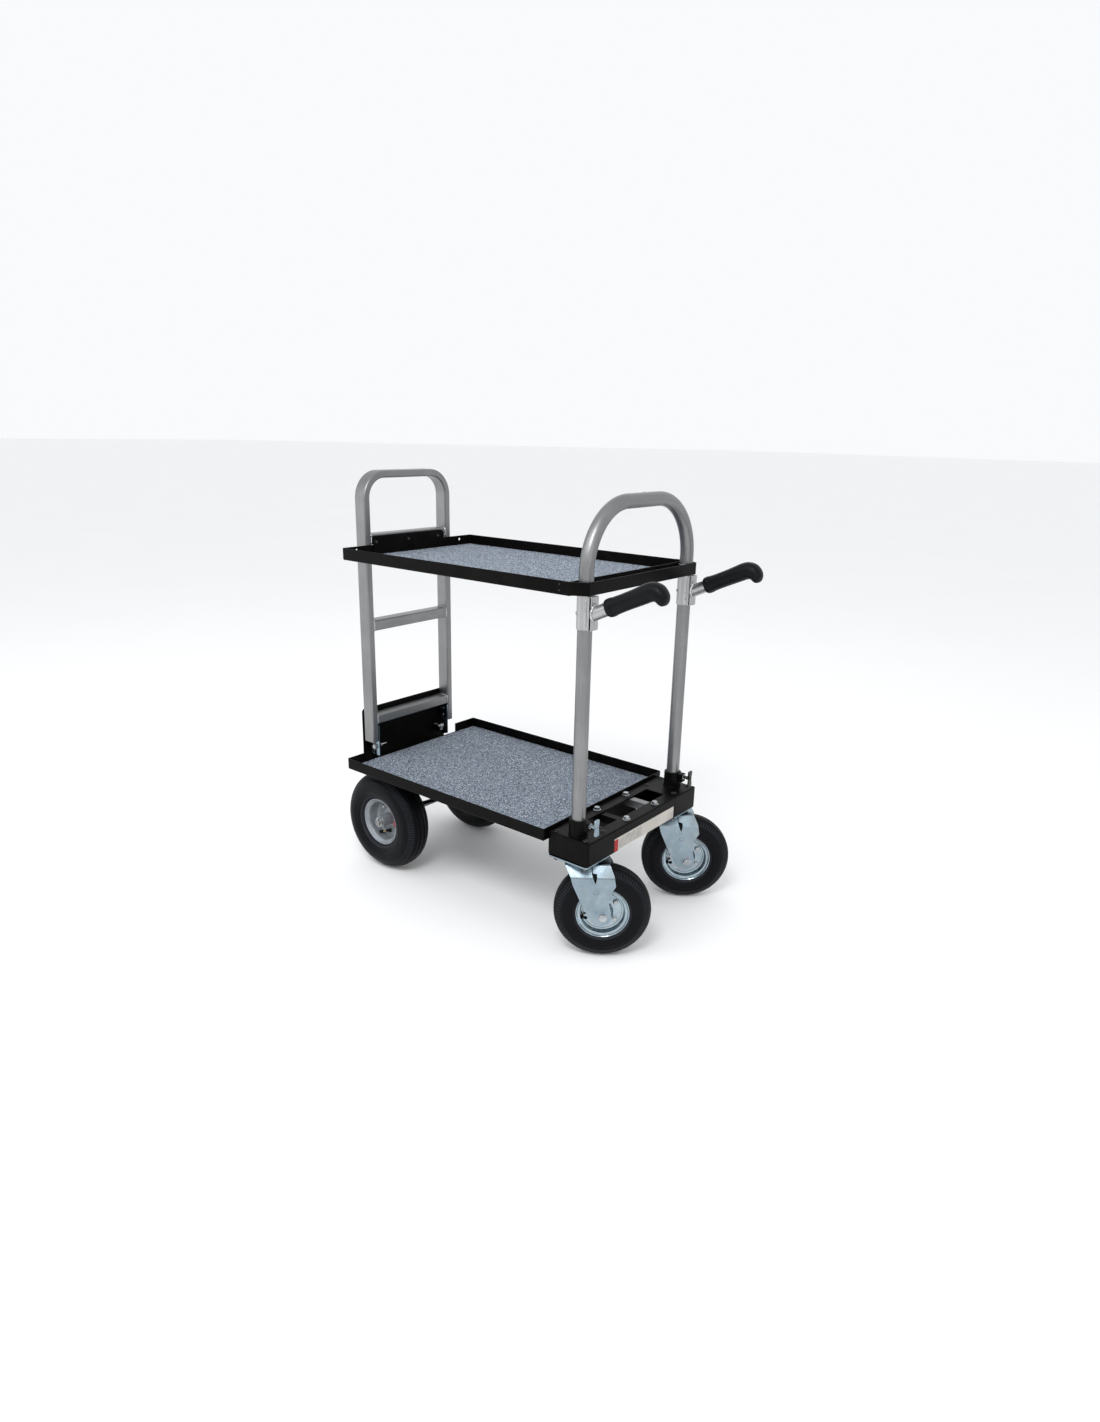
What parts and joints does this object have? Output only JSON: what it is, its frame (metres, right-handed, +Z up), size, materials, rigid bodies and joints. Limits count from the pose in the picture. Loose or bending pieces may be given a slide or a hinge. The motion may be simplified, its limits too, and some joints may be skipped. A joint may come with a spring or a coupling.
{
  "type": "two-shelf rolling equipment cart",
  "caption": "Rolling two-shelf cart: carpeted trays on a ladder frame and bent push loop, pneumatic rear wheels, swivel casters and swing-out push handles.",
  "frame": {"origin": "middle of the bounding box's footprint, on the floor under the wheels", "axes": "+X from the rear wheels towards the swivel casters and push handles, +Y across the cart, +Z up"},
  "size_m": [0.9964, 0.5426, 1.051],
  "materials": {
    "aluminium": "satin mill finish",
    "black_powder_coat": "semi-gloss black powder coat",
    "zinc_plate": "bright bluish zinc plate",
    "carpet": "speckled grey carpet",
    "tyre_rubber": "black moulded rubber",
    "rim_paint": "light grey painted steel",
    "grip_vinyl": "soft black dipped vinyl",
    "axle_steel": "plain steel bar"
  },
  "bodies": {
    "chassis": {"lower_tray": "black_powder_coat", "lower_carpet": "carpet", "frame_rail_near": "aluminium", "frame_rail_far": "aluminium", "cross_member_rear": "aluminium", "cross_member_mid": "aluminium", "front_cross_bar": "aluminium", "inner_beam": "black_powder_coat", "front_beam": "black_powder_coat", "link_bar_near": "aluminium", "link_bar_far": "aluminium", "frame_bolt_inner_near": "zinc_plate", "frame_bolt_inner_far": "zinc_plate", "frame_bolt_front_near": "zinc_plate", "frame_bolt_front_far": "zinc_plate", "caster_box_near": "black_powder_coat", "caster_box_far": "black_powder_coat", "caster_plate_near": "zinc_plate", "caster_plate_far": "zinc_plate", "nose_plate": "black_powder_coat", "nose_lug_near": "black_powder_coat", "nose_lug_far": "black_powder_coat", "foot_bolt_near": "zinc_plate", "foot_bolt_far": "zinc_plate", "axle_bracket_near": "black_powder_coat", "axle_bracket_far": "black_powder_coat", "axle_brace_near": "black_powder_coat", "axle_brace_far": "black_powder_coat", "rear_axle": "axle_steel"},
    "upper_deck": {"ladder_frame": "aluminium", "ladder_rung_top": "aluminium", "ladder_rung_mid": "aluminium", "ladder_rung_low": "aluminium", "ladder_foot_near": "zinc_plate", "ladder_foot_far": "zinc_plate", "hook_plate": "black_powder_coat", "upper_tray": "black_powder_coat", "upper_carpet": "carpet", "end_strap": "black_powder_coat", "push_loop": "aluminium"},
    "push_handle_near": {"handle_near": "aluminium", "grip_near": "grip_vinyl"},
    "rear_wheel_near": {"rear_tyre_near": "tyre_rubber", "rear_rim_near": "rim_paint"},
    "caster_swivel_near": {"fork_near": "zinc_plate", "caster_axle_near": "zinc_plate"},
    "caster_wheel_near": {"caster_tyre_near": "tyre_rubber", "caster_rim_near": "zinc_plate"},
    "socket_lock_near": {"lock_screw_near": "zinc_plate"},
    "foot_nut_near": {"wing_nut_near": "zinc_plate"},
    "push_handle_far": {"handle_far": "aluminium", "grip_far": "grip_vinyl"},
    "rear_wheel_far": {"rear_tyre_far": "tyre_rubber", "rear_rim_far": "rim_paint"},
    "caster_swivel_far": {"fork_far": "zinc_plate", "caster_axle_far": "zinc_plate"},
    "caster_wheel_far": {"caster_tyre_far": "tyre_rubber", "caster_rim_far": "zinc_plate"},
    "socket_lock_far": {"lock_screw_far": "zinc_plate"},
    "foot_nut_far": {"wing_nut_far": "zinc_plate"}
  },
  "joints": [
    {"name": "upper_deck_lift", "type": "slide", "parent": "chassis", "child": "upper_deck", "axis": [0, 0, 1], "range_m": [0, 0.1]},
    {"name": "handle_swing_near", "type": "hinge", "parent": "upper_deck", "child": "push_handle_near", "pos_m": [0.30164, -0.22627, 0.8], "axis": [0, 0, 1], "range_deg": [-45, 45]},
    {"name": "rear_wheel_spin_near", "type": "hinge", "parent": "chassis", "child": "rear_wheel_near", "pos_m": [-0.36426, -0.19927, 0.1339], "axis": [0, 1, 0], "continuous": true},
    {"name": "caster_swivel_turn_near", "type": "hinge", "parent": "chassis", "child": "caster_swivel_near", "pos_m": [0.29574, -0.21207, 0.2], "axis": [0, 0, 1], "continuous": true},
    {"name": "caster_wheel_spin_near", "type": "hinge", "parent": "caster_swivel_near", "child": "caster_wheel_near", "pos_m": [0.34077, -0.17713, 0.1121], "axis": [0.6129, -0.7902, 0], "continuous": true},
    {"name": "socket_lock_turn_near", "type": "hinge", "parent": "chassis", "child": "socket_lock_near", "pos_m": [0.34074, -0.22627, 0.332], "axis": [1, 0, 0], "range_deg": [0, 270]},
    {"name": "foot_nut_turn_near", "type": "hinge", "parent": "chassis", "child": "foot_nut_near", "pos_m": [-0.45276, -0.14707, 0.312], "axis": [0, 1, 0], "range_deg": [0, 270]},
    {"name": "handle_swing_far", "type": "hinge", "parent": "upper_deck", "child": "push_handle_far", "pos_m": [0.30164, 0.16813, 0.8], "axis": [0, 0, 1], "range_deg": [-45, 45]},
    {"name": "rear_wheel_spin_far", "type": "hinge", "parent": "chassis", "child": "rear_wheel_far", "pos_m": [-0.36426, 0.14113, 0.1339], "axis": [0, 1, 0], "continuous": true},
    {"name": "caster_swivel_turn_far", "type": "hinge", "parent": "chassis", "child": "caster_swivel_far", "pos_m": [0.29574, 0.15393, 0.2], "axis": [0, 0, 1], "continuous": true},
    {"name": "caster_wheel_spin_far", "type": "hinge", "parent": "caster_swivel_far", "child": "caster_wheel_far", "pos_m": [0.34077, 0.18887, 0.1121], "axis": [0.6129, -0.7902, 0], "continuous": true},
    {"name": "socket_lock_turn_far", "type": "hinge", "parent": "chassis", "child": "socket_lock_far", "pos_m": [0.34074, 0.16813, 0.332], "axis": [1, 0, 0], "range_deg": [0, 270]},
    {"name": "foot_nut_turn_far", "type": "hinge", "parent": "chassis", "child": "foot_nut_far", "pos_m": [-0.45276, 0.08893, 0.312], "axis": [0, 1, 0], "range_deg": [0, 270]}
  ]
}
